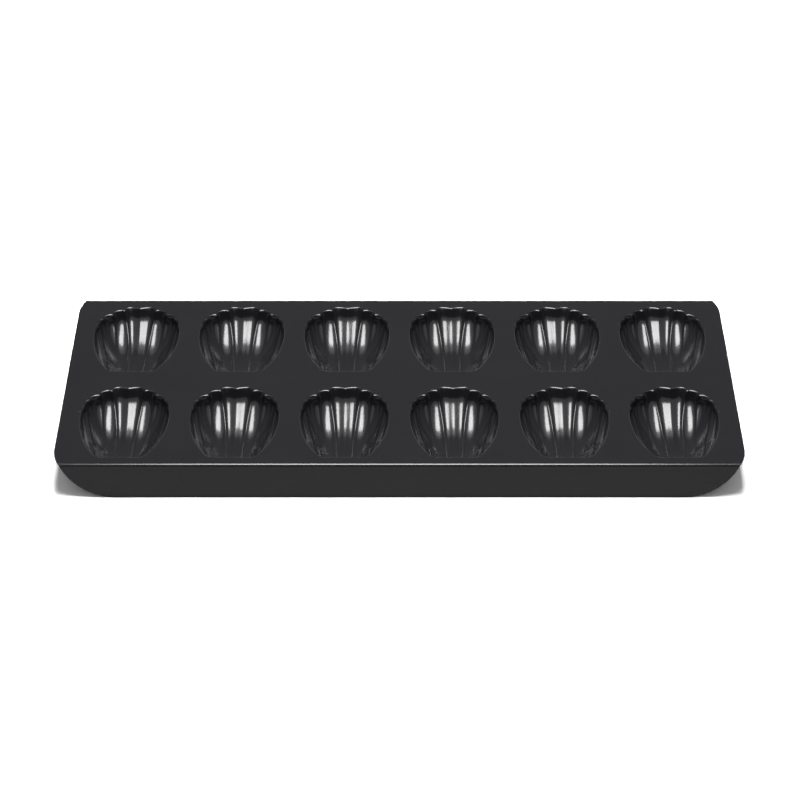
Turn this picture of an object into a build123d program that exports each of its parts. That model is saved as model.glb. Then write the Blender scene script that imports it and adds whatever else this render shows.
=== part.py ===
from build123d import *
import math
import os

# Madeleine pan: one folded deck sheet and twelve drawn shell cups lapped into it.
# Millimetres. X runs along the pan, +Y to the wide ends of the shells, +Z up.
# The origin is the middle of the footprint, on the surface that the pan stands on.

# Deck sheet
pan_length = 395.0
deck_depth = 188.5
pan_height = 20.0
sheet_thickness = 0.8
bend_radius = 2.0
bend_angle = 80.0
corner_radius = 36.0

# Rolled lip and collar of each opening, and the flat rim that the lip is rolled from
lip_radius = 1.6
lip_overlap = 0.04
collar_drop = 2.2
rim_margin = 0.4

# Flat facets in the quarter round of a lip, and spans of a round corner across a bend
lip_steps = 4
bend_steps = 4

# Layout of the moulds
cups_per_row = 6
column_pitch = 64.0
row_pitch = 96.5

# Mouth of a mould, measured just below the rolled lip
mouth_length = 76.4
mouth_width = 48.7
cup_depth = 14.4

# Drawn cup
cup_thickness = 0.8
lap_clearance = 0.3
brim_width = 2.3

# One overrun serves all cuts
overrun = 1.0

deck_top = pan_height
seam_drop = lip_radius + collar_drop

bend_line = deck_depth / 2
fold = math.radians(bend_angle)

# Runs on the sheet's outer face, from the deck's bend line: to the end of the bend, to the
# hem, and to the start of the round corner, which lies on the deck when it is negative.
bend_run = bend_radius * fold
hem_run = bend_run + (deck_top - bend_radius * (1 - math.cos(fold))) / math.sin(fold)
corner_run = hem_run - corner_radius
corner_place = pan_length / 2 - corner_radius

# The mouth's sides are elliptic: where they are widest, as a share of the length from the
# narrow end, and how wide the narrow end is, as a share of the full width.
widest_share = 0.59
narrow_width_share = 0.525

# The spine is the middle ridge of the mould. Each section is a plane across the mould that
# turns about a chord of the mouth and reaches the spine: chord, spine and depth as shares.
spine_shares = [
    (0.020, 0.000, 0.00),
    (0.045, 0.014, 0.16),
    (0.105, 0.048, 0.53),
    (0.185, 0.138, 0.87),
    (0.315, 0.300, 0.99),
    (0.435, 0.460, 1.00),
    (0.525, 0.605, 0.95),
    (0.585, 0.735, 0.81),
    (0.620, 0.850, 0.56),
    (0.635, 0.932, 0.27),
    (0.640, 0.968, 0.00),
]

# Ridges at the narrow end, at mid length and at the scalloped rim, from the middle to the
# side: across, as shares of half the chord, and outwards, as shares of the spine's reach.
across_shares = [(0.20, 0.20, 0.364), (0.40, 0.38, 0.636), (0.60, 0.55, 0.850), (0.80, 0.70, 0.935)]
reach_shares = [(1.0, 0.985, 0.930), (1.0, 0.94, 0.712), (0.99, 0.85, 0.500), (0.92, 0.67, 0.205)]

# Bulge of the five flutes of a side, as shares of their chords, at the same three places.
bulge_shares = [
    (0.03, 0.16, 0.30),
    (0.03, 0.16, 0.27),
    (0.03, 0.16, 0.23),
    (0.04, 0.14, 0.18),
    (0.11, 0.10, 0.06),
]


def half_width(place, offset=0.0):
    """Half the mouth's width, grown by an offset, at a distance from the narrow end."""
    middle = widest_share * mouth_length
    half = mouth_width / 2
    if place > middle:
        reach = mouth_length - middle
    else:
        start = spine_shares[0][0] * mouth_length
        reach = (middle - start) / math.sqrt(1 - narrow_width_share**2)
    return (half + offset) * math.sqrt(1 - ((place - middle) / (reach + offset)) ** 2)


def blend(shares, turn):
    """A share between its narrow, middle and rim values, for a section turned by 0 to 1."""
    narrow, middle, rim = shares
    if turn < 0.5:
        return narrow + (middle - narrow) * turn * 2
    return middle + (rim - middle) * (turn * 2 - 1)


def flute_circle(start, end, bulge):
    """Centre and radius of the arc that bulges to the left of the way from start to end."""
    chord_x, chord_y = end[0] - start[0], end[1] - start[1]
    chord = math.hypot(chord_x, chord_y)
    rise = bulge * chord
    radius = (chord**2 / 4 + rise**2) / (rise * 2)
    sink = radius - rise
    middle_x, middle_y = (start[0] + end[0]) / 2, (start[1] + end[1]) / 2
    return (middle_x + chord_y / chord * sink, middle_y - chord_x / chord * sink), radius


def crossing(first, second):
    """Outer crossing point of two neighbouring flute circles."""
    (x1, y1), r1 = first
    (x2, y2), r2 = second
    gap = math.hypot(x2 - x1, y2 - y1)
    along = (gap**2 + r1**2 - r2**2) / (gap * 2)
    aside = math.sqrt(r1**2 - along**2)
    ux, uy = (x2 - x1) / gap, (y2 - y1) / gap
    return x1 + ux * along - uy * aside, y1 + uy * along + ux * aside


def fluted_edges(half_chord, reach, turn, offset):
    """Ridge points and flute circles of one section, right half, from the side to the middle.

    The section's own frame: first value across the mould, second outwards from the chord."""
    ridges = [(0.0, reach)]
    for across, outward in zip(across_shares, reach_shares):
        ridges.append((half_chord * blend(across, turn), reach * blend(outward, turn)))
    ridges.append((half_chord, 0.0))
    circles = []
    for inner, outer, shares in zip(ridges, ridges[1:], bulge_shares):
        centre, radius = flute_circle(inner, outer, blend(shares, turn))
        circles.append((centre, radius + offset))
    mirrored = ((-circles[0][0][0], circles[0][0][1]), circles[0][1])
    points = [crossing(mirrored, circles[0])]
    for first, second in zip(circles, circles[1:]):
        points.append(crossing(first, second))
    (end_x, end_y), end_radius = circles[-1]
    points.append((end_x + math.sqrt(end_radius**2 - end_y**2), 0.0))
    return points, circles


def arc_middle(start, end, circle):
    """Point halfway along a flute's arc."""
    (centre_x, centre_y), radius = circle
    out_x = (start[0] + end[0]) / 2 - centre_x
    out_y = (start[1] + end[1]) / 2 - centre_y
    scale_up = radius / math.hypot(out_x, out_y)
    return centre_x + out_x * scale_up, centre_y + out_y * scale_up


def section_arcs(row, offset):
    """Arcs of one section from its left end to its right end, as point triples in space."""
    chord_share, spine_share, depth_share = row
    chord_place = chord_share * mouth_length
    out_y = spine_share * mouth_length - chord_place
    out_z = -depth_share * cup_depth
    reach = math.hypot(out_y, out_z)
    turn = math.atan2(-out_z, -out_y) / math.pi
    points, circles = fluted_edges(half_width(chord_place), reach, turn, offset)

    def place(point, side):
        lift = point[1] / reach
        return Vector(side * point[0], chord_place + out_y * lift, out_z * lift - lip_radius)

    right = []
    for start, end, circle in zip(points, points[1:], circles):
        middle = arc_middle(start, end, circle)
        right.append((start, middle, end))
    left = [(end, middle, start) for start, middle, end in reversed(right)]
    arcs = [tuple(place(point, -1) for point in arc) for arc in left]
    arcs += [tuple(place(point, 1) for point in arc) for arc in right]
    return arcs


def section_wire(row, offset):
    """Closed outline of one section: ten flutes and the chord."""
    arcs = section_arcs(row, offset)
    edges = [Edge.make_three_point_arc(*arc) for arc in arcs]
    edges.append(Edge.make_line(arcs[-1][2], arcs[0][0]))
    return Wire(edges)


def shell_form(offset):
    """Solid of the mould below its mouth, grown by an offset all round."""
    return Solid.make_loft([section_wire(row, offset) for row in spine_shares])


def top_prisms(form, height):
    """Upward prisms on the flat top faces of a shell form."""
    tops = form.faces().filter_by(Axis.Z).group_by(Axis.Z)[-1]
    return [extrude(top, height, dir=(0, 0, 1)) for top in tops]


def mouth_wire(offset, level):
    """Outline of the mouth, grown by an offset, at a level below the deck's top."""
    narrow = section_arcs(spine_shares[0], offset)
    wide = section_arcs(spine_shares[-1], offset)
    lift = Vector(0, 0, lip_radius + level)
    places = [row[0] * mouth_length for row in spine_shares[1:-1]]
    sides = []
    for side, start, end in ((1, narrow[-1][2], wide[-1][2]), (-1, narrow[0][0], wide[0][0])):
        points = [Vector(side * half_width(place, offset), place, -lip_radius) for place in places]
        sides.append(Edge.make_spline([point + lift for point in [start, *points, end]]))
    ends = [Edge.make_three_point_arc(*(point + lift for point in arc)) for arc in narrow + wide]
    return Wire(ends + sides)


def mouth_prism(offset, low, high):
    """Upright prism on the grown outline of the mouth, between two levels."""
    return extrude(Face(mouth_wire(offset, low)), high - low, dir=(0, 0, 1))


def lip_flare():
    """Cutter of the rolled lip: the mouth's outline grows along a quarter round."""
    wires = [mouth_wire(lip_radius - lip_overlap, overrun)]
    for step in range(lip_steps + 1):
        angle = math.pi / 2 * step / lip_steps
        grown = lip_radius * (1 - math.sin(angle)) - lip_overlap
        wires.append(mouth_wire(grown, -lip_radius * (1 - math.cos(angle))))
    return Solid.make_loft(wires, ruled=True)


def edge_place(run):
    """Side edge of the blank, at a run beyond the deck's bend line on the outer face."""
    beyond = run - corner_run
    if beyond <= 0:
        return pan_length / 2
    return corner_place + math.sqrt(max(corner_radius**2 - beyond**2, 0))


def corner_piece(low, high):
    """Flat waste of one round corner, between two runs beyond the bend line."""
    waste = Rectangle(corner_radius + overrun, corner_radius + overrun, align=(Align.MIN, Align.MIN))
    waste -= Circle(corner_radius)
    strip = Pos(0, low - corner_run) * Rectangle(
        corner_radius + overrun, high - low, align=(Align.MIN, Align.MIN)
    )
    return Pos(corner_place, corner_run) * (waste & strip)



def bend_point(radius, angle):
    """Height and depth of a point on the front-to-back section of a bend."""
    return bend_line + radius * math.sin(angle), deck_top - bend_radius + radius * math.cos(angle)


def corner_waste():
    """All that is cut from one corner of the folded blank: on the deck, the bend and the skirt."""
    bend_end = (0, *bend_point(bend_radius, fold))
    skirt_plane = Plane(bend_end, (1, 0, 0), (0, math.sin(fold), math.cos(fold)))
    skirt_piece = Pos(0, -bend_run) * corner_piece(max(bend_run, corner_run), hem_run + overrun)
    waste = extrude(skirt_plane * skirt_piece, sheet_thickness + overrun, both=True)

    inside = (bend_radius - sheet_thickness) / 2
    outside = bend_radius + overrun
    far_side = pan_length / 2 + overrun
    wires = []
    for step in range(bend_steps + 1):
        angle = fold * step / bend_steps
        near_side = edge_place(bend_radius * angle)
        low, high = bend_point(inside, angle), bend_point(outside, angle)
        corners = [(near_side, *low), (near_side, *high), (far_side, *high), (far_side, *low)]
        wires.append(Wire.make_polygon(corners))
    waste += Solid.make_loft(wires, ruled=True)

    if corner_run < 0:
        deck_piece = Pos(0, bend_line, deck_top) * corner_piece(corner_run, 0)
        waste += extrude(deck_piece, sheet_thickness + overrun, both=True, dir=(0, 0, 1))
    return waste


def folded_sheet():
    """The blank, folded down along both long sides and rounded at its four corners."""
    outlines = []
    for radius in (bend_radius, bend_radius - sheet_thickness):
        start, halfway, end = (bend_point(radius, fold * share / 2) for share in (0, 1, 2))
        hem = (end[0] + end[1] / math.tan(fold), 0)
        outlines.append((start, halfway, end, hem))
    outer, inner = outlines
    top, under = (0, deck_top), (0, deck_top - sheet_thickness)
    section = Line(top, outer[0]) + ThreePointArc(*outer[:3]) + Line(outer[2], outer[3])
    section += Line(outer[3], inner[3]) + Line(inner[3], inner[2]) + ThreePointArc(*inner[2::-1])
    section += Line(inner[0], under) + Line(under, top)
    sheet = extrude(Plane.YZ * make_face(section), pan_length / 2, both=True)
    sheet += mirror(sheet, about=Plane.XZ)
    waste = corner_waste()
    waste += mirror(waste, about=Plane.YZ)
    waste += mirror(waste, about=Plane.XZ)
    return sheet - waste


def mould_slab(low, high):
    """Block that covers a whole mould between two levels below the deck's top."""
    ends = (Align.CENTER, Align.CENTER, Align.MIN)
    block = Box(mouth_width * 2, mouth_length * 2, high - low, align=ends)
    return Pos(0, mouth_length / 2, low) * block


def lip_ring(cavity):
    """Edge of one opening: flat rim, rolled lip and the collar that goes down into the mould."""
    form = shell_form(sheet_thickness)
    ring = Part() + form - mould_slab(-seam_drop - cup_depth * 2, -seam_drop)
    ring += top_prisms(form, lip_radius - sheet_thickness / 2)
    ring += mouth_prism(lip_radius + rim_margin, -sheet_thickness, 0)
    ring -= cavity
    return ring - lip_flare()


def drawn_cup(cavity):
    """A cup: its wall below the collar, a shoulder and sleeve round the collar, and a brim."""
    lap = sheet_thickness + lap_clearance
    sleeve = lap + cup_thickness
    cup = mouth_prism(sleeve, -seam_drop - cup_thickness, -sheet_thickness)
    cup += mouth_prism(sleeve + brim_width, -sheet_thickness - cup_thickness, -sheet_thickness)
    cup -= mouth_prism(lap, -seam_drop, overrun)
    cup += Part() + shell_form(cup_thickness) - mould_slab(-seam_drop, overrun)
    return cup - cavity


def cup_places():
    """Name and place of each mould: the narrow end of its mouth, at the deck's top."""
    for row, side in (("front", -1), ("rear", 1)):
        narrow_end = side * row_pitch / 2 - mouth_length / 2
        for column in range(cups_per_row):
            across = (column - (cups_per_row - 1) / 2) * column_pitch
            yield f"cup_{row}_{column + 1}", Pos(across, narrow_end, deck_top)


hollow = shell_form(0)
cavity = Part() + [hollow, *top_prisms(hollow, lip_radius + overrun)]
ring = lip_ring(cavity)
cup = drawn_cup(cavity)

hole = mouth_prism(lip_radius + rim_margin, -sheet_thickness - overrun, overrun)
deck = folded_sheet() - [place * hole for name, place in cup_places()]
deck += [place * ring for name, place in cup_places()]

os.makedirs("parts", exist_ok=True)
export_step(deck, "parts/deck_sheet.step")
for name, place in cup_places():
    export_step(place * cup, f"parts/{name}.step")
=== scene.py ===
# %% [markdown]
# # A madeleine pan
# Twelve scallop-shell moulds in a folded sheet with a satin non-stick coating. The frame is the
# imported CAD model: every mesh here is made in its place, in metres, +X along the pan, +Y to the
# wide ends of the shells, and it takes the place of the plain solid of the same name.
# The lengths are written in millimetres, as on a drawing, and are scaled once, when a mesh is made.

# %% Load the frame
import math

import bmesh
import bpy
import numpy as np
from mathutils.geometry import tessellate_polygon
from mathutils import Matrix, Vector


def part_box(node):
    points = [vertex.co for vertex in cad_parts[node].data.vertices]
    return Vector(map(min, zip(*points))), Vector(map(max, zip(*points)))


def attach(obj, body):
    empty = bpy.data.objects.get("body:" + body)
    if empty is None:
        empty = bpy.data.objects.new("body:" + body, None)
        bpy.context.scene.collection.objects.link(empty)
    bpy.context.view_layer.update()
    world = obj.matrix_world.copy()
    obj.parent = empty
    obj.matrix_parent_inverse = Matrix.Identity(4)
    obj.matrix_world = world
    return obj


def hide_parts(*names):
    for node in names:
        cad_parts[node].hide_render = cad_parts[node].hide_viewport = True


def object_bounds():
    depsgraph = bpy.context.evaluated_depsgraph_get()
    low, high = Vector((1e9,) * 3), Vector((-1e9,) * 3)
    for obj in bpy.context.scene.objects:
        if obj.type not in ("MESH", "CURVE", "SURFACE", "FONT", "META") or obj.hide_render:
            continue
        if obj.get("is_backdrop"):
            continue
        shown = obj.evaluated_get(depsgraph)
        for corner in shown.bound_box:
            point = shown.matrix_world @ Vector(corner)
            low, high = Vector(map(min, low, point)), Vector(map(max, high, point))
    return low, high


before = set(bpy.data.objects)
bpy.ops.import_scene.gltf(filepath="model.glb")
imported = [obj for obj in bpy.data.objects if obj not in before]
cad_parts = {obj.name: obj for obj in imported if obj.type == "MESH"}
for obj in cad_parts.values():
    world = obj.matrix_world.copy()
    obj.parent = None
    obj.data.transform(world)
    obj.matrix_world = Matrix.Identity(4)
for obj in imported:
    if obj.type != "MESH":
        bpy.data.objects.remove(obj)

MM, TINY = 0.001, 1e-12
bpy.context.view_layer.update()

# %% [markdown]
# ## The camera
# The photograph looks down at the long front edge from a distance, so the sides of the pan hardly
# converge. A long lens does the same: the pan keeps its proportions and fills the frame.

# %% Place the camera
camera_height, camera_back, camera_across = 0.9560, 1.5824, 0.00034
look_down = math.radians(31)
lens_mm, sensor_mm = 139.24, 36

camera_data = bpy.data.cameras.new("camera")
camera_data.lens = lens_mm
camera_data.sensor_width = sensor_mm
camera = bpy.data.objects.new("camera", camera_data)
camera.location = (camera_across, -camera_back, camera_height)
camera.rotation_euler = (math.pi / 2 - look_down, 0, 0)
bpy.context.collection.objects.link(camera)
bpy.context.scene.camera = camera
bpy.context.scene.view_settings.view_transform = "Standard"
print("camera looks down", round(math.degrees(look_down)), "degrees")

# %% [markdown]
# ## Two small helpers
# A material or a Geometry Nodes tree is a set of nodes and the links between them. One function
# adds a node, sets it and links it. Colours are written as they look on a screen, in sRGB, and a
# second function turns them into the linear values that Blender mixes with.


# %% Helpers for nodes and colours
def add_node(tree, kind, settings=(), values=(), links=()):
    """Add a node with its settings, the values of its inputs and the sockets linked to them."""
    node = tree.nodes.new(kind)
    for name, value in dict(settings).items():
        setattr(node, name, value)
    for socket, value in dict(values).items():
        node.inputs[socket].default_value = value
    for socket, source in dict(links).items():
        tree.links.new(source, node.inputs[socket])
    return node


def linear(code):
    """Linear colour, with alpha, of an sRGB hex code."""
    parts = [int(code[i : i + 2], 16) / 255 for i in (1, 3, 5)]
    return tuple(p / 12.92 if p <= 0.04045 else ((p + 0.055) / 1.055) ** 2.4 for p in parts) + (1,)


print("middle grey on a screen, as a linear value:", round(linear("#808080")[0], 3))

# %% [markdown]
# ## The non-stick coating
# The pan is steel sheet, sprayed with a black fluoropolymer coating and baked. It is a plastic
# skin about 0.03 mm thick, so it is not metallic: it is nearly black, and its gloss comes from
# its own surface. The spray leaves a faint orange peel and a fine grit that spread a highlight.
# The real grit is about 0.05 mm, too fine to show here, so it is drawn four times as coarse.

# %% Material: baked non-stick coating
orange_peel_mm, grit_mm, mottle_mm = 1.4, 0.2, 30.0
peel_height_mm, grit_height_mm, bump_strength = 0.2, 0.05, 0.10
darker, paler = linear("#131316"), linear("#17171a")
smoothest, roughest, coating_ior = 0.12, 0.15, 1.38

coating = bpy.data.materials.new("nonstick_coating_on_steel")
coating.use_nodes = True
tree = coating.node_tree
tree.nodes.clear()
place = add_node(tree, "ShaderNodeTexCoord").outputs["Object"]
peel, grit, mottle = (
    add_node(
        tree, "ShaderNodeTexNoise", values={"Scale": 1 / (size * MM), "Detail": detail},
        links={"Vector": place},
    ).outputs["Fac"]
    for size, detail in ((orange_peel_mm, 1.0), (grit_mm, 2.0), (mottle_mm, 4.0))
)
tone = add_node(tree, "ShaderNodeMix", {"data_type": "RGBA"}, {6: darker, 7: paler}, {0: mottle})
sheen = add_node(
    tree, "ShaderNodeMapRange", values={"To Min": smoothest, "To Max": roughest},
    links={"Value": mottle},
)
grain = add_node(
    tree, "ShaderNodeBump", values={"Strength": bump_strength, "Distance": grit_height_mm * MM},
    links={"Height": grit},
)
skin = add_node(
    tree, "ShaderNodeBump", values={"Strength": bump_strength, "Distance": peel_height_mm * MM},
    links={"Height": peel, "Normal": grain.outputs["Normal"]},
)
gloss = add_node(
    tree, "ShaderNodeBsdfPrincipled", values={"IOR": coating_ior, "Metallic": 0.0},
    links={
        "Base Color": tone.outputs[2], "Roughness": sheen.outputs["Result"],
        "Normal": skin.outputs["Normal"],
    },
)
add_node(tree, "ShaderNodeOutputMaterial", links={"Surface": gloss.outputs["BSDF"]})
print("material:", coating.name)

# %% [markdown]
# ## The surface of one mould
# A shell mould is pressed by one punch, and all of its shape is in that punch: a middle ridge,
# the spine, runs from the narrow end down, along the bottom and up to the wide end, and ten
# flutes fan out from it. It could be sculpted, but a rule gives cleaner flutes. A plane across
# the mould turns about a chord of the mouth, as a page turns, and in each position it holds one
# section: six ridge points on each side, with a hollow flute between neighbours.

# %% Sizes of a mould, in millimetres
mouth_length, mouth_width, cup_depth = 76.6, 50.9, 14.4
lip_drop, lip_radius, collar_drop = 1.6, 1.25, 2.2
widest_share, narrow_width_share = 0.59, 0.525

# Chord, spine and depth of the turning plane, as shares of the length, the length and the depth
spine_shares = [
    (0.020, 0.000, 0.00), (0.045, 0.014, 0.16), (0.105, 0.048, 0.53), (0.185, 0.138, 0.87),
    (0.315, 0.300, 0.99), (0.435, 0.460, 1.00), (0.525, 0.615, 0.935), (0.585, 0.735, 0.79),
    (0.620, 0.850, 0.56), (0.635, 0.932, 0.27), (0.640, 0.968, 0.00),
]

# Ridges from the middle to the side: how far across and how deep, as shares of the section.
# The three values hold at the narrow end, at mid length and at the scalloped rim
across_shares = [
    (0, 0, 0), (0.20, 0.21, 0.364), (0.40, 0.43, 0.636),
    (0.60, 0.60, 0.850), (0.80, 0.75, 0.935), (1, 1, 1),
]
reach_shares = [
    (1, 1, 1), (1.0, 0.985, 0.900), (1.0, 0.970, 0.712),
    (0.99, 0.76, 0.500), (0.92, 0.50, 0.205), (0, 0, 0),
]

# Depth of each hollow, as a share of the distance between its two ridges
bulge_shares = [
    (0.08, 0.15, 0.30), (0.08, 0.13, 0.27), (0.07, 0.03, 0.23),
    (0.06, 0.05, 0.18), (0.05, 0.12, 0.06),
]

# A hollow is flat in its middle and steep beside its ridges: 2 would be a plain arc
hollow_power = 3.0

# The spine itself is a soft crest at 0 and as sharp as the other ridges at 1
crest_shares = (0.0, 0.0, 0.35)

# How late each of them turns from its middle to its rim value: 1 is even
across_paces = (1, 2.0, 0.6, 0.6, 0.7, 1)
reach_pace, bulge_pace = 2.5, 3.0

# The rows nearest the narrow end, where ten flutes crowd together, are averaged a few times
rows, per_flute = 76, 8
calm_rows, calm_passes = 26, 12
flutes = len(bulge_shares)
print("flutes:", 2 * flutes, "from", rows, "rows")


# %% Points on the spine
def smooth_rows(knots, count):
    """Rows of a smooth curve through the knots, evenly spaced along the spine."""
    knots = np.array(knots)
    steps = np.hypot(np.diff(knots[:, 1]) * mouth_length, np.diff(knots[:, 2]) * cup_depth)
    at = np.concatenate(([0], np.cumsum(steps)))
    slope = np.diff(knots, axis=0) / steps[:, None]
    inner = slope[:-1] * steps[1:, None] + slope[1:] * steps[:-1, None]
    inner /= (steps[1:] + steps[:-1])[:, None]
    slopes = np.vstack((slope[:1], inner, slope[-1:]))
    place = np.linspace(0, at[-1], count + 1)
    i = np.clip(np.searchsorted(at, place, "right") - 1, 0, len(steps) - 1)
    t, span = ((place - at[i]) / steps[i])[:, None], steps[i][:, None]
    return (
        knots[i] * (1 + 2 * t) * (1 - t) ** 2 + slopes[i] * span * t * (1 - t) ** 2
        + knots[i + 1] * t**2 * (3 - 2 * t) + slopes[i + 1] * span * t**2 * (t - 1)
    )


def half_width(place):
    """Half the mouth's width at a distance from its narrow end."""
    middle = widest_share * mouth_length
    if place > middle:
        reach = mouth_length - middle
    else:
        reach = (middle - spine_shares[0][0] * mouth_length) / math.sqrt(1 - narrow_width_share**2)
    return mouth_width / 2 * math.sqrt(1 - ((place - middle) / reach) ** 2)


spine = smooth_rows(spine_shares, rows)
print("spine rows:", len(spine))


# %% One section
def share_at(shares, turn, late):
    """A share between its narrow, middle and rim values; late holds the rim value back."""
    narrow, middle, rim = shares
    if turn < 0.5:
        return middle + (narrow - middle) * (1 - turn * 2)
    return middle + (rim - middle) * (turn * 2 - 1) ** late


def section(chord_share, spine_share, depth_share):
    """Points of one section from its left end to its right end."""
    chord = chord_share * mouth_length
    out_y, out_z = spine_share * mouth_length - chord, -depth_share * cup_depth
    reach = math.hypot(out_y, out_z)
    turn = math.atan2(abs(out_z), -out_y) / math.pi
    width = half_width(chord)
    ridges = np.array([
        (width * share_at(across, turn, pace), reach * share_at(out, turn, reach_pace))
        for across, pace, out in zip(across_shares, across_paces, reach_shares)
    ])
    right = []
    for k in range(flutes):
        way = ridges[k + 1] - ridges[k]
        w = (1 - np.cos(np.pi * np.arange(per_flute) / per_flute)) / 2
        # The soft bulge leaves the crest level, and 6.75 makes it as high as the arc
        arc, soft = 1 - np.abs(2 * w - 1) ** hollow_power, 6.75 * w**2 * (1 - w)
        crest = share_at(crest_shares, turn, bulge_pace) if k == 0 else 1
        swell = arc * crest + soft * (1 - crest)
        out = np.array((-way[1], way[0])) * share_at(bulge_shares[k], turn, bulge_pace)
        right.append(ridges[k] + way * w[:, None] + out * swell[:, None])
    right = np.vstack(right + [ridges[-1:]])
    both = np.vstack((right[:0:-1] * (-1, 1), right))
    lift = both[:, 1] / reach
    return np.column_stack((both[:, 0], chord + out_y * lift, out_z * lift - lip_drop))


print("points in a section:", len(section(*spine[0])))

# %% The grid of all sections
grid = np.array([section(*row) for row in spine])

# A light average across takes the knife edge off the ridges
ridge_hold = 8
beside = grid[1:-1, :-2] + grid[1:-1, 2:]
grid[1:-1, 1:-1] = (beside + ridge_hold * grid[1:-1, 1:-1]) / (ridge_hold + 2)
for _ in range(calm_passes):
    near = grid[: calm_rows + 2, 1:-1]
    grid[1 : calm_rows + 1, 1:-1] = (near[:-2] + 2 * near[1:-1] + near[2:]) / 4

deepest = round(float(grid[..., 2].min()), 2)
print("mould surface:", grid.shape[0], "rows of", grid.shape[1], "points, deepest", deepest)

# %% [markdown]
# ## The rolled lip
# The edge of each opening is rolled down into the mould with a small radius, and that roll is
# what catches the light as a thin bright line. The roll starts level with the deck and ends at
# the slope of the wall, so that the wall goes on without a crease. It follows the outline of the
# mouth, grown by a small offset: where two scallops meet, their grown edges cross, and what lies
# beyond the crossing is cut off.

# %% The outline of the mouth, as runs between corners
def flute_runs(line):
    """A fluted end of the mouth as one run for each flute."""
    return [line[i : i + per_flute + 1] for i in range(0, len(line) - 1, per_flute)]


mouth = flute_runs(grid[0]) + [grid[:, -1]] + flute_runs(grid[-1, ::-1]) + [grid[::-1, 0]]
print("runs round the mouth:", len(mouth))


# %% Where two grown runs cross, and which way is out
def crossing(first, second):
    """Outermost crossing of the first line's last half and the second's first half, or None."""
    for i in range(len(first) // 2, len(first) - 1):
        a, b = first[i], first[i + 1] - first[i]
        for j in range(len(second) // 2, -1, -1):
            c, d = second[j], second[j + 1] - second[j]
            turn = b[0] * d[1] - b[1] * d[0]
            if abs(turn) < TINY:
                continue
            s = ((c[0] - a[0]) * d[1] - (c[1] - a[1]) * d[0]) / turn
            t = ((c[0] - a[0]) * b[1] - (c[1] - a[1]) * b[0]) / turn
            if 0 <= s <= 1 and 0 <= t <= 1:
                return (a + b * s + c + d * t) / 2, i, j
    return None


def outward(line):
    """Level unit vectors that point out of the mouth along a run."""
    way = np.gradient(line[:, :2], axis=0)
    way /= np.linalg.norm(way, axis=1)[:, None]
    return np.column_stack((way[:, 1], -way[:, 0]))


print("out of the narrow end:", outward(mouth[0])[0].round(2))


# %% Grow the outline
def grow(offsets, levels):
    """Closed ring: each run of the mouth moved outwards and set at its levels."""
    moved = [
        np.column_stack((run[:, :2] + outward(run) * offset[:, None], level))
        for run, offset, level in zip(mouth, offsets, levels)
    ]
    for k in range(len(moved)):
        first, second = moved[k], moved[(k + 1) % len(moved)]
        cut = crossing(first, second)
        if cut:
            point, i, j = cut
            moved[k] = np.vstack((first[: i + 1], point))
            moved[(k + 1) % len(moved)] = np.vstack((point, second[j + 1 :]))
        else:
            joint = mouth[k][-1, :2]
            a, b = first[-1, :2] - joint, second[0, :2] - joint
            alike = a @ b / max(np.linalg.norm(a) * np.linalg.norm(b), TINY)
            point = joint + (a + b) / (1 + alike)
            corner = np.append(point, (first[-1, 2] + second[0, 2]) / 2)
            moved[k] = np.vstack((first[:-1], corner))
            moved[(k + 1) % len(moved)] = np.vstack((corner, second[1:]))
    ring = []
    for run, line in zip(mouth, moved):
        share = np.concatenate(([0], np.cumsum(np.linalg.norm(np.diff(run, axis=0), axis=1))))
        along = np.concatenate(([0], np.cumsum(np.linalg.norm(np.diff(line, axis=0), axis=1))))
        want = share / share[-1] * along[-1]
        ring.append(np.column_stack([np.interp(want, along, line[:, n]) for n in range(3)])[:-1])
    return np.vstack(ring)


def even_ring(offset, level):
    """The mouth's outline grown by one offset, at one level."""
    offsets = [np.full(len(run), offset) for run in mouth]
    return grow(offsets, [np.full(len(run), level) for run in mouth])


print("points in a ring:", len(even_ring(1, 0)))

# %% Slope of the wall below each point of the mouth
# The roll of the lip stays between these two angles, also where a flute is steeper or flatter
gentlest, steepest = math.radians(50), math.radians(82)


def wall_slopes():
    """For each run of the mouth, the wall's angle to the level just below the mouth."""
    outer = [grid[0], grid[:, -1], grid[-1, ::-1], grid[::-1, 0]]
    inner = [grid[1], grid[:, -2], grid[-2, ::-1], grid[::-1, 1]]
    angles = []
    for line, below in zip(outer, inner):
        drop = line[:, 2] - below[:, 2]
        inset = np.einsum("ij,ij->i", line[:, :2] - below[:, :2], outward(line))
        angles.append(np.clip(np.arctan2(drop, np.maximum(inset, 1e-6)), gentlest, steepest))
    return flute_runs(angles[0]) + [angles[1]] + flute_runs(angles[2]) + [angles[3]]


slopes = wall_slopes()
slope_range = [round(math.degrees(pick(pick(s) for s in slopes))) for pick in (min, max)]
print("wall slopes:", slope_range, "degrees")

# %% Rings of the lip, from the flat deck down to the mouth
lip_steps, flat_margin = 6, 2.4
rings = [even_ring(flat_margin, 0.0)]
for step in range(lip_steps + 1):
    offsets, levels = [], []
    for slope in slopes:
        angle = slope * step / lip_steps
        start = lip_drop / np.tan(slope) + lip_radius * np.tan(slope / 2)
        offsets.append(start - lip_radius * np.sin(angle))
        levels.append(-lip_radius * (1 - np.cos(angle)))
    rings.append(grow(offsets, levels))
mouth_ring = np.vstack([run[:-1] for run in mouth])
print("lip rings:", len(rings), "widest", round(float(np.ptp(rings[0][:, 0])), 1), "mm")

# %% [markdown]
# ## One cell of the deck
# The deck is made of twelve equal cells, each with one opening, and what is left at the edges.
# The whole skin of a cell, flat, lip and mould, is made as one mesh first, so that its normals
# run on smoothly. Then it is cut level at the seam, where the deck's collar ends and the cup
# goes on, and each of the two keeps the normals of the whole.

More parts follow.
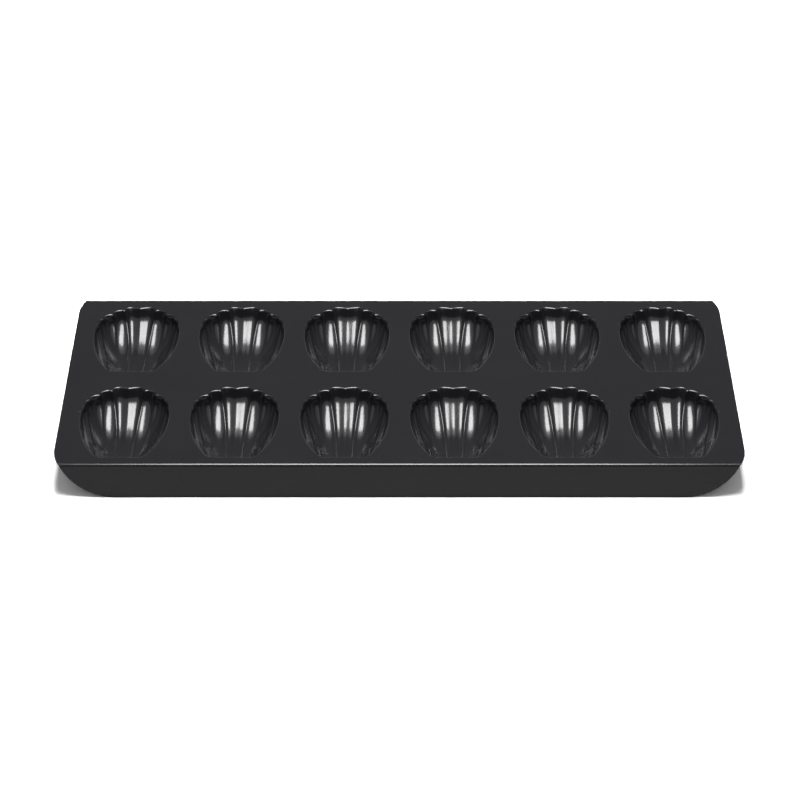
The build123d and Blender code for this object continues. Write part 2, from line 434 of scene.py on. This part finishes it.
# %% Sizes of the sheet, in millimetres
pan_length, hem_depth, pan_height, sheet_thickness = 395.0, 198.9, 20.0, 0.8
bend_radius, bend_angle, corner_radius = 1.6, math.radians(80), 36.0
column_pitch, row_pitch, columns, mould_rows = 64.0, 96.5, 6, 2
bend_drop = bend_radius * (1 - math.cos(bend_angle))
apron_lean = (pan_height - bend_drop) / math.tan(bend_angle)
bend_line = hem_depth / 2 - bend_radius * math.sin(bend_angle) - apron_lean
seam = -lip_drop - collar_drop
half_cell = (column_pitch / 2, bend_line - row_pitch / 2)
print("bend line at", round(bend_line, 2), "mm, seam", round(-seam, 2), "mm below the deck")


# %% Skin of a cell, with the normals of the whole
def whole_skin():
    """Points, faces and normals of a cell's skin: the flat, the lip and the mould."""
    count, (high, wide) = len(mouth_ring), grid.shape[:2]
    flat = grid.reshape(-1, 3)
    index = np.arange(len(flat)).reshape(high, wide)
    around = np.concatenate((index[0, :-1], index[:-1, -1], index[-1, :0:-1], index[:0:-1, 0]))
    faces = [
        (index[i, j], index[i, j + 1], index[i + 1, j + 1], index[i + 1, j])
        for i in range(high - 1) for j in range(wide - 1)
    ]
    base = len(flat)
    ring_index = [base + np.arange(count) + k * count for k in range(len(rings))] + [around]
    for outer, inner in zip(ring_index, ring_index[1:]):
        for k in range(count):
            n = (k + 1) % count
            faces.append((outer[k], outer[n], inner[n], inner[k]))
    x, y = half_cell
    centre = mouth_length / 2
    low, high_end = centre - y, centre + y
    corners = np.array([(-x, low, 0), (x, low, 0), (x, high_end, 0), (-x, high_end, 0)])
    points = np.vstack((flat, *rings, corners))
    last = base + len(rings) * count
    ids = [last, last + 1, last + 2, last + 3, *ring_index[0]]
    outline, hole = [points[i] for i in ids[:4]], [points[i] for i in ids[4:]]
    for triangle in tessellate_polygon([outline, hole]):
        a, b, c = (ids[i] for i in triangle)
        up = np.cross(points[b] - points[a], points[c] - points[a])[2] > 0
        faces.append((a, b, c) if up else (a, c, b))
    points = points - (0, centre, -pan_height)
    mesh = bpy.data.meshes.new("whole_skin")
    mesh.from_pydata(points.tolist(), [], [[int(i) for i in face] for face in faces])
    mesh.update()
    normals = mesh.attributes.new("skin_normal", "FLOAT_VECTOR", "POINT")
    normals.data.foreach_set("vector", [v for n in mesh.vertex_normals for v in n.vector])
    return mesh


skin_mesh = whole_skin()
print("whole skin:", len(skin_mesh.polygons), "faces")


# %% Cut the skin at the seam
def cut_at_seam(mesh, keep_upper):
    """Points, faces and normals of the part above or below the seam."""
    bm = bmesh.new()
    bm.from_mesh(mesh)
    cut = {"clear_inner": keep_upper, "clear_outer": not keep_upper}
    bmesh.ops.bisect_plane(
        bm, geom=bm.verts[:] + bm.edges[:] + bm.faces[:], dist=1e-5,
        plane_co=(0, 0, pan_height + seam), plane_no=(0, 0, 1), **cut,
    )
    layer = bm.verts.layers.float_vector["skin_normal"]
    bm.verts.index_update()
    points = np.array([v.co[:] for v in bm.verts])
    normals = np.array([v[layer][:] for v in bm.verts])
    faces = [[v.index for v in face.verts] for face in bm.faces]
    bm.free()
    return points, faces, normals / np.linalg.norm(normals, axis=1)[:, None]


collar_part = cut_at_seam(skin_mesh, True)
cup_part = cut_at_seam(skin_mesh, False)
print("collar side:", len(collar_part[1]), "faces; cup side:", len(cup_part[1]), "faces")

# %% [markdown]
# ## From a skin to a sheet
# Sheet metal has a thickness and a cut edge. The under side is the skin moved back along its
# own normals by 0.8 mm and turned over, and every free edge gets a narrow face. The normals are
# kept for each corner, so a rolled lip shades as a smooth roll and a cut edge stays crisp.


# %% Give a skin its thickness
def thicken(points, faces, normals, thickness):
    """Closed sheet: points, faces and one normal for each corner of each face."""
    count = len(points)
    under = points - normals * thickness
    # The hem stands on the table, and its inner edge does not go below it
    under[:, 2] = np.maximum(under[:, 2], 0)
    edges = dict.fromkeys((a, b) for face in faces for a, b in zip(face, face[1:] + face[:1]))
    rim = [[b, a, a + count, b + count] for a, b in edges if (b, a) not in edges]
    both = np.vstack((points, under))
    all_faces = faces + [[i + count for i in reversed(face)] for face in faces] + rim
    corners = [normals[i] for face in faces for i in face]
    corners += [-normals[i] for face in faces for i in reversed(face)]
    for a, b, c, d in rim:
        across = np.cross(both[b] - both[a], both[d] - both[a])
        across = across / max(np.linalg.norm(across), TINY)
        corners += [across] * 4
    return both, all_faces, corners


def make_mesh(name, points, faces, corners):
    """A mesh in metres with a normal for each corner."""
    mesh = bpy.data.meshes.new(name)
    mesh.from_pydata((np.asarray(points) * MM).tolist(), [], [[int(i) for i in f] for f in faces])
    mesh.update()
    mesh.shade_smooth()
    if corners is not None:
        mesh.normals_split_custom_set([tuple(map(float, c)) for c in corners])
    mesh.materials.append(coating)
    return mesh


solid = thicken(np.eye(3), [[0, 1, 2]], np.eye(3), 0.1)
print("a triangle with a thickness has", len(solid[1]), "faces")

# %% [markdown]
# ## Repeating the mould
# All moulds are alike and stand on a grid of six by two. Geometry Nodes make such a layout: a
# Mesh Grid gives one point for each mould, and Instance on Points puts a copy on each. The same
# tree serves the deck, which takes all twelve places, and a cup, which takes one: its input
# Pick is the number of that place, or below zero for all.

# %% The layout tree
layout = bpy.data.node_groups.new("mould_layout", "GeometryNodeTree")
sockets = layout.interface
sockets.new_socket("Geometry", in_out="INPUT", socket_type="NodeSocketGeometry")
sockets.new_socket("Geometry", in_out="OUTPUT", socket_type="NodeSocketGeometry")
for name, kind in (
    ("Columns", "Int"), ("Rows", "Int"), ("Length", "Float"), ("Depth", "Float"),
    ("Pick", "Int"), ("Material", "Material"),
):
    sockets.new_socket(name, in_out="INPUT", socket_type="NodeSocket" + kind)
given = add_node(layout, "NodeGroupInput").outputs
points = add_node(
    layout, "GeometryNodeMeshGrid",
    links={
        "Size X": given["Length"], "Size Y": given["Depth"],
        "Vertices X": given["Columns"], "Vertices Y": given["Rows"],
    },
)
number = add_node(layout, "GeometryNodeInputIndex")
same = add_node(
    layout, "FunctionNodeCompare", {"data_type": "INT", "operation": "EQUAL"},
    links={2: number.outputs[0], 3: given["Pick"]},
)
every = add_node(
    layout, "FunctionNodeCompare", {"data_type": "INT", "operation": "LESS_THAN"}, {3: 0},
    {2: given["Pick"]},
)
chosen = add_node(
    layout, "FunctionNodeBooleanMath", {"operation": "OR"},
    links={0: same.outputs[0], 1: every.outputs[0]},
)
copies = add_node(
    layout, "GeometryNodeInstanceOnPoints",
    links={
        "Points": points.outputs["Mesh"], "Selection": chosen.outputs[0],
        "Instance": given["Geometry"],
    },
)
real = add_node(layout, "GeometryNodeRealizeInstances", links={"Geometry": copies.outputs[0]})
coated = add_node(
    layout, "GeometryNodeSetMaterial",
    links={"Geometry": real.outputs[0], "Material": given["Material"]},
)
add_node(layout, "NodeGroupOutput", links={"Geometry": coated.outputs[0]})
print("layout tree:", len(layout.nodes), "nodes")


# %% Run the tree
def laid_out(mesh, pick):
    """Plain mesh of the copies of a mesh on the picked place, or on all places."""
    carrier = bpy.data.objects.new("carrier", mesh)
    bpy.context.collection.objects.link(carrier)
    modifier = carrier.modifiers.new("layout", "NODES")
    modifier.node_group = layout
    wanted = {
        "Columns": columns, "Rows": mould_rows, "Length": (columns - 1) * column_pitch * MM,
        "Depth": (mould_rows - 1) * row_pitch * MM, "Pick": pick, "Material": coating,
    }
    for item in layout.interface.items_tree:
        if item.in_out == "INPUT" and item.name in wanted:
            modifier[item.identifier] = wanted[item.name]
    evaluated = carrier.evaluated_get(bpy.context.evaluated_depsgraph_get())
    result = bpy.data.meshes.new_from_object(evaluated)
    bpy.data.objects.remove(carrier)
    return result


print("tree sockets:", [item.name for item in layout.interface.items_tree])

# %% [markdown]
# ## The deck sheet
# The cells are joined with what lies round them: a strip between the two rows, the short ends,
# and the two aprons. An apron is the sheet folded down by 80 degrees over a small radius. The
# corners of the blank are round, and the round starts on the deck, crosses the bend and ends at
# the hem, so it is worked out along the sheet and not in space.

# %% Twelve cells in place
all_places = -1
cells = laid_out(make_mesh("cell", collar_part[0], collar_part[1], None), all_places)
cell_points = np.array([v.co[:] for v in cells.vertices]) / MM
cell_faces = [list(p.vertices) for p in cells.polygons]
cell_normals = np.tile(collar_part[2], (columns * mould_rows, 1))
print("cells:", len(cell_points), "points")

# %% The sheet's edges beyond the cells
bend_steps, corner_steps = 8, 20
bend_run = bend_radius * bend_angle
hem_run = bend_run + (pan_height - bend_drop) / math.sin(bend_angle)
corner_run = hem_run - corner_radius
corner_place = pan_length / 2 - corner_radius


def side_edge(run):
    """Side edge of the blank at a run beyond the deck's bend line."""
    beyond = max(run - corner_run, 0)
    return corner_place + math.sqrt(max(corner_radius**2 - beyond**2, 0))


def on_sheet(run):
    """Distance from the middle, height and normal of the folded sheet at a run."""
    if run <= 0:
        return bend_line + run, pan_height, (0, 1)
    angle = min(run / bend_radius, bend_angle)
    out, up = math.sin(angle), math.cos(angle)
    beyond = max(run - bend_run, 0)
    place = bend_line + bend_radius * out + beyond * up
    return place, pan_height - bend_radius * (1 - up) - beyond * out, (out, up)


def corner_line(start, end):
    """Runs down a round corner, close together where it turns fastest."""
    low, high = (
        math.asin(min(max((run - corner_run) / corner_radius, 0), 1)) for run in (start, end)
    )
    turns = [low + (high - low) * k / corner_steps for k in range(corner_steps + 1)]
    return [corner_run + corner_radius * math.sin(turn) for turn in turns]


print("sheet from the bend line to the hem:", round(hem_run, 2), "mm")

# %% Edges of the deck: the strip between the rows and the short ends
edge_points, edge_normals, edge_faces = [], [], []


def add_face(corners):
    """One face from (x, run, side) corners, where side is -1 for the front and 1 for the back."""
    first = len(edge_points)
    for x, run, side in corners:
        place, height, (out, up) = on_sheet(run)
        edge_points.append((x, side * place, height))
        edge_normals.append((0, side * out, up))
    edge_faces.append(list(range(first, len(edge_points))))


cell_lines = [(k - columns / 2) * column_pitch for k in range(columns + 1)]
inner_line = row_pitch / 2 - half_cell[1] - bend_line
for left, right in zip(cell_lines, cell_lines[1:]):
    strip = [(left, -1), (right, -1), (right, 1), (left, 1)]
    add_face([(x, inner_line, side) for x, side in strip])
deck_corner = corner_line(corner_run, 0)
for hand in (1, -1):
    edge = [(hand * side_edge(run), run) for run in deck_corner]
    line = [(x, run, -1) for x, run in reversed(edge)] + [(x, run, 1) for x, run in edge]
    inner = hand * cell_lines[-1]
    line += [(inner, 0, 1), (inner, inner_line, 1), (inner, inner_line, -1), (inner, 0, -1)]
    add_face(line if hand > 0 else line[::-1])
print("deck edge faces:", len(edge_faces))

# %% Bend and apron along each long side
for side in (-1, 1):
    runs = [bend_run * k / bend_steps for k in range(bend_steps + 1)]
    for near, far in zip(runs, runs[1:]):
        tops, feet = (
            [(x, run) for x in (-side_edge(run), *cell_lines, side_edge(run))]
            for run in (near, far)
        )
        for k in range(len(tops) - 1):
            quad = [tops[k], feet[k], feet[k + 1], tops[k + 1]]
            add_face([(x, run, side) for x, run in (quad if side < 0 else quad[::-1])])
    fall = corner_line(bend_run, hem_run)
    apron = [(-side_edge(run), run) for run in fall]
    apron += [(side_edge(run), run) for run in reversed(fall)]
    apron += [(x, bend_run) for x in reversed(cell_lines)]
    add_face([(x, run, side) for x, run in (apron if side < 0 else apron[::-1])])
print("all edge faces:", len(edge_faces))


# %% Join the faces of the deck sheet
def merge(points, faces, normals):
    """One skin: points that lie together become one, and the first normal is kept."""
    known, index, keep = {}, [], []
    for i, point in enumerate(points):
        key = tuple(np.round(point, 3) + 0.0)
        if key not in known:
            known[key] = len(keep)
            keep.append(i)
        index.append(known[key])
    merged = []
    for face in faces:
        ids = [index[i] for i in face]
        ids = [v for k, v in enumerate(ids) if v != ids[k - 1]]
        if len(set(ids)) > 2:
            merged.append(ids)
    return np.asarray(points)[keep], merged, np.asarray(normals)[keep]


offset = len(edge_points)
deck_skin = merge(
    np.vstack((edge_points, cell_points)),
    edge_faces + [[i + offset for i in face] for face in cell_faces],
    np.vstack((edge_normals, cell_normals)),
)
print("deck skin:", len(deck_skin[0]), "points")


# %% Thicken the deck sheet and put it on show
def put_on_show(name, mesh, nodes):
    """The finished piece: rides the pan's one body and stands for its CAD nodes."""
    mesh.name = name
    piece = bpy.data.objects.new(name, mesh)
    bpy.context.collection.objects.link(piece)
    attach(piece, "root")
    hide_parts(*nodes)


deck_mesh = make_mesh("deck_skin", *thicken(*deck_skin, sheet_thickness))
put_on_show("deck_skin", deck_mesh, ["deck_sheet"])
print("deck triangles:", sum(len(p.vertices) - 2 for p in deck_mesh.polygons))

# %% [markdown]
# ## The cups
# Below the seam each mould is a cup of its own, drawn from the same sheet. At the top it steps
# out round the deck's collar, runs up as a sleeve, and turns out into a flat brim under the
# deck. That part shows from below only. It is one closed section, carried round the mouth.

# %% Section of the sleeve and the brim
lap_clearance, cup_thickness, brim_width, fillet = 0.3, 0.8, 2.3, 0.6

# At the seam the section reaches half the sheet's thickness into the wall, so no gap shows
wall_reach = cup_thickness / 2
lap = sheet_thickness + lap_clearance
sleeve = lap + cup_thickness


def seam_ring(level, out):
    """Ring at the seam, one point for each point of the mouth, moved out into the sheet."""
    at_seam = np.abs(cup_part[0][:, 2] - pan_height - seam) < 1e-4
    edge = cup_part[0][at_seam][:, :2] + (0, mouth_length / 2)
    ring = []
    for point in mouth_ring[:, :2]:
        near = edge[np.argsort(np.linalg.norm(edge - point, axis=1))[:2]]
        way = near[1] - near[0]
        share = np.clip((point - near[0]) @ way / max(way @ way, TINY), 0, 1)
        foot = near[0] + way * share
        ring.append((*(foot + (point - foot) / np.linalg.norm(point - foot) * out), level))
    return np.array(ring)


# Each rounded corner is drawn with one point between its ends
between = fillet * 0.3
brim_top, shoulder = -sheet_thickness, seam - cup_thickness
brim_foot = brim_top - cup_thickness
sleeve_profile = [
    (lap, brim_top), (sleeve + brim_width, brim_top), (sleeve + brim_width, brim_foot),
    (sleeve + fillet, brim_foot), (sleeve + between, brim_foot - between),
    (sleeve, brim_foot - fillet), (sleeve, shoulder + fillet),
    (sleeve - between, shoulder + between), (sleeve - fillet, shoulder),
]
sleeve_rings = [even_ring(out, level) for out, level in sleeve_profile]
sleeve_rings += [seam_ring(level, wall_reach) for level in (shoulder, seam)]
sleeve_rings += [even_ring(lap, seam)]
print("sleeve rings:", len(sleeve_rings))


# %% One cup
def whole_cup():
    """Points, faces and corner normals of a cup: wall and bottom, sleeve and brim."""
    points, faces, corners = thicken(*cup_part, cup_thickness)
    base, count = len(points), len(mouth_ring)
    rings_in_place = [ring - (0, mouth_length / 2, -pan_height) for ring in sleeve_rings]
    every = np.vstack((points, *rings_in_place))
    for k in range(len(rings_in_place)):
        a, b = base + k * count, base + (k + 1) % len(rings_in_place) * count
        for i in range(count):
            n = (i + 1) % count
            faces.append([a + i, b + i, b + n, a + n])
            side = np.cross(every[b + i] - every[a + n], every[b + n] - every[a + i])
            corners += [side / max(np.linalg.norm(side), TINY)] * 4
    return every, faces, corners


cup_points, cup_faces, cup_corners = whole_cup()
print("cup:", len(cup_faces), "faces")

# %% Twelve cups in place
for column in range(columns):
    for row, label in enumerate(("front", "rear")):
        node = f"cup_{label}_{column + 1}"
        mesh = laid_out(make_mesh("cup", cup_points, cup_faces, None), column * mould_rows + row)
        mesh.shade_smooth()
        mesh.normals_split_custom_set([tuple(map(float, c)) for c in cup_corners])
        low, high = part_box(node)
        middle = np.mean([v.co[:2] for v in mesh.vertices], axis=0)
        assert low[0] < middle[0] < high[0] and low[1] < middle[1] < high[1], node
        put_on_show(node + "_shell", mesh, [node])
print("cup triangles:", sum(len(p.vertices) - 2 for p in mesh.polygons))

# %% [markdown]
# ## The studio
# The pan stands on a table that the photograph shows as pure white. One long softbox hangs over
# it. Its reflection draws the streaks in the flutes and the line on the fold, and a second light
# in the same place, which only reflections see, brings them to the strength they have in the
# photograph. A dim grey drape stands round the table, out of the picture, for the flat deck to
# mirror. It is seen in reflections only and is brighter at the back, where the deck looks.

# %% Table
def staged(name, mesh, material):
    """A thing of the studio that is not part of the object."""
    thing = bpy.data.objects.new(name, mesh)
    bpy.context.collection.objects.link(thing)
    mesh.materials.append(material)
    thing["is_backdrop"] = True
    return thing


def flat_disc(name, radius, sides=96):
    """A level disc at height zero."""
    mesh = bpy.data.meshes.new(name)
    turn = [2 * math.pi * k / sides for k in range(sides)]
    points = [(radius * math.cos(t), radius * math.sin(t), 0) for t in turn]
    mesh.from_pydata(points, [], [list(range(sides))])
    return mesh


# The table lights the pan as pale grey laminate and looks white to the camera
table_radius, table_grey, table_seen = 1.2, (0.55, 0.55, 0.55, 1), (1.5, 1.5, 1.5, 1)
table_white = bpy.data.materials.new("white_laminate_table")
table_white.use_nodes = True
tree = table_white.node_tree
tree.nodes.clear()
ray = add_node(tree, "ShaderNodeLightPath").outputs["Is Camera Ray"]
shade = add_node(
    tree, "ShaderNodeMix", {"data_type": "RGBA"}, {6: table_grey, 7: table_seen}, {0: ray},
)
matt = add_node(tree, "ShaderNodeBsdfDiffuse", links={"Color": shade.outputs[2]})
add_node(tree, "ShaderNodeOutputMaterial", links={"Surface": matt.outputs[0]})
staged("table", flat_disc("table", table_radius), table_white)
print("table radius:", table_radius, "m")

# %% Drape
drape_radius, drape_foot, drape_height, drape_sides = 3.0, 0.35, 3.2, 64
drape_front, drape_back = 0.03, 0.25

drape_grey = bpy.data.materials.new("grey_studio_drape")
drape_grey.use_nodes = True
tree = drape_grey.node_tree
tree.nodes.clear()
place = add_node(tree, "ShaderNodeTexCoord").outputs["Object"]
split = add_node(tree, "ShaderNodeSeparateXYZ", links={0: place})
dim = add_node(
    tree, "ShaderNodeMapRange",
    values={"From Min": -1.0, "From Max": 1.0, "To Min": drape_front, "To Max": drape_back},
    links={"Value": split.outputs["Y"]},
)
glow = add_node(tree, "ShaderNodeEmission", links={"Strength": dim.outputs[0]})
add_node(tree, "ShaderNodeOutputMaterial", links={"Surface": glow.outputs[0]})
turn = [2 * math.pi * k / drape_sides for k in range(drape_sides)]
ring = [(drape_radius * math.cos(t), drape_radius * math.sin(t)) for t in turn]
nexts = [(k + 1) % drape_sides for k in range(drape_sides)]
mesh = bpy.data.meshes.new("drape")
mesh.from_pydata(
    [(x, y, z) for z in (drape_foot, drape_height) for x, y in ring], [],
    [(k, n, n + drape_sides, k + drape_sides) for k, n in enumerate(nexts)],
)
drape = staged("drape", mesh, drape_grey)
drape.visible_camera = drape.visible_diffuse = drape.visible_shadow = False
print("drape:", len(mesh.polygons), "sides")

# %% Softbox
softbox_size, softbox_place = (0.50, 1.00), (0, 0.2, 1.2)
softbox_power, glint_power = 28, 120


def hang_softbox(name, power):
    """A softbox that hangs level over the table."""
    data = bpy.data.lights.new(name, "AREA")
    data.shape, data.energy = "RECTANGLE", power
    data.size, data.size_y = softbox_size
    lamp = bpy.data.objects.new(name, data)
    lamp.location = softbox_place
    bpy.context.collection.objects.link(lamp)
    return lamp


hang_softbox("softbox", softbox_power)
hang_softbox("softbox_glint", glint_power).visible_diffuse = False
print("softbox:", softbox_power, "W, for reflections", softbox_power + glint_power, "W")

# %% Background, white to the camera and to reflections and dim to all else
dim_level, white_level = 0.3, 1.0

world = bpy.data.worlds.new("studio")
bpy.context.scene.world = world
world.use_nodes = True
tree = world.node_tree
tree.nodes.clear()
path = add_node(tree, "ShaderNodeLightPath").outputs
seen = path["Is Camera Ray"]
for kind in ("Is Glossy Ray", "Is Transmission Ray"):
    seen = add_node(
        tree, "ShaderNodeMath", {"operation": "MAXIMUM"}, links={0: seen, 1: path[kind]},
    ).outputs[0]
level = add_node(
    tree, "ShaderNodeMapRange", values={"To Min": dim_level, "To Max": white_level},
    links={"Value": seen},
)
sky = add_node(
    tree, "ShaderNodeBackground", values={"Color": (1, 1, 1, 1)},
    links={"Strength": level.outputs[0]},
)
add_node(tree, "ShaderNodeOutputWorld", links={"Surface": sky.outputs[0]})
print("studio lit")

# %% Measure and finish
low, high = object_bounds()
print("visual box in mm:", [round((b - a) / MM, 2) for a, b in zip(low, high)])
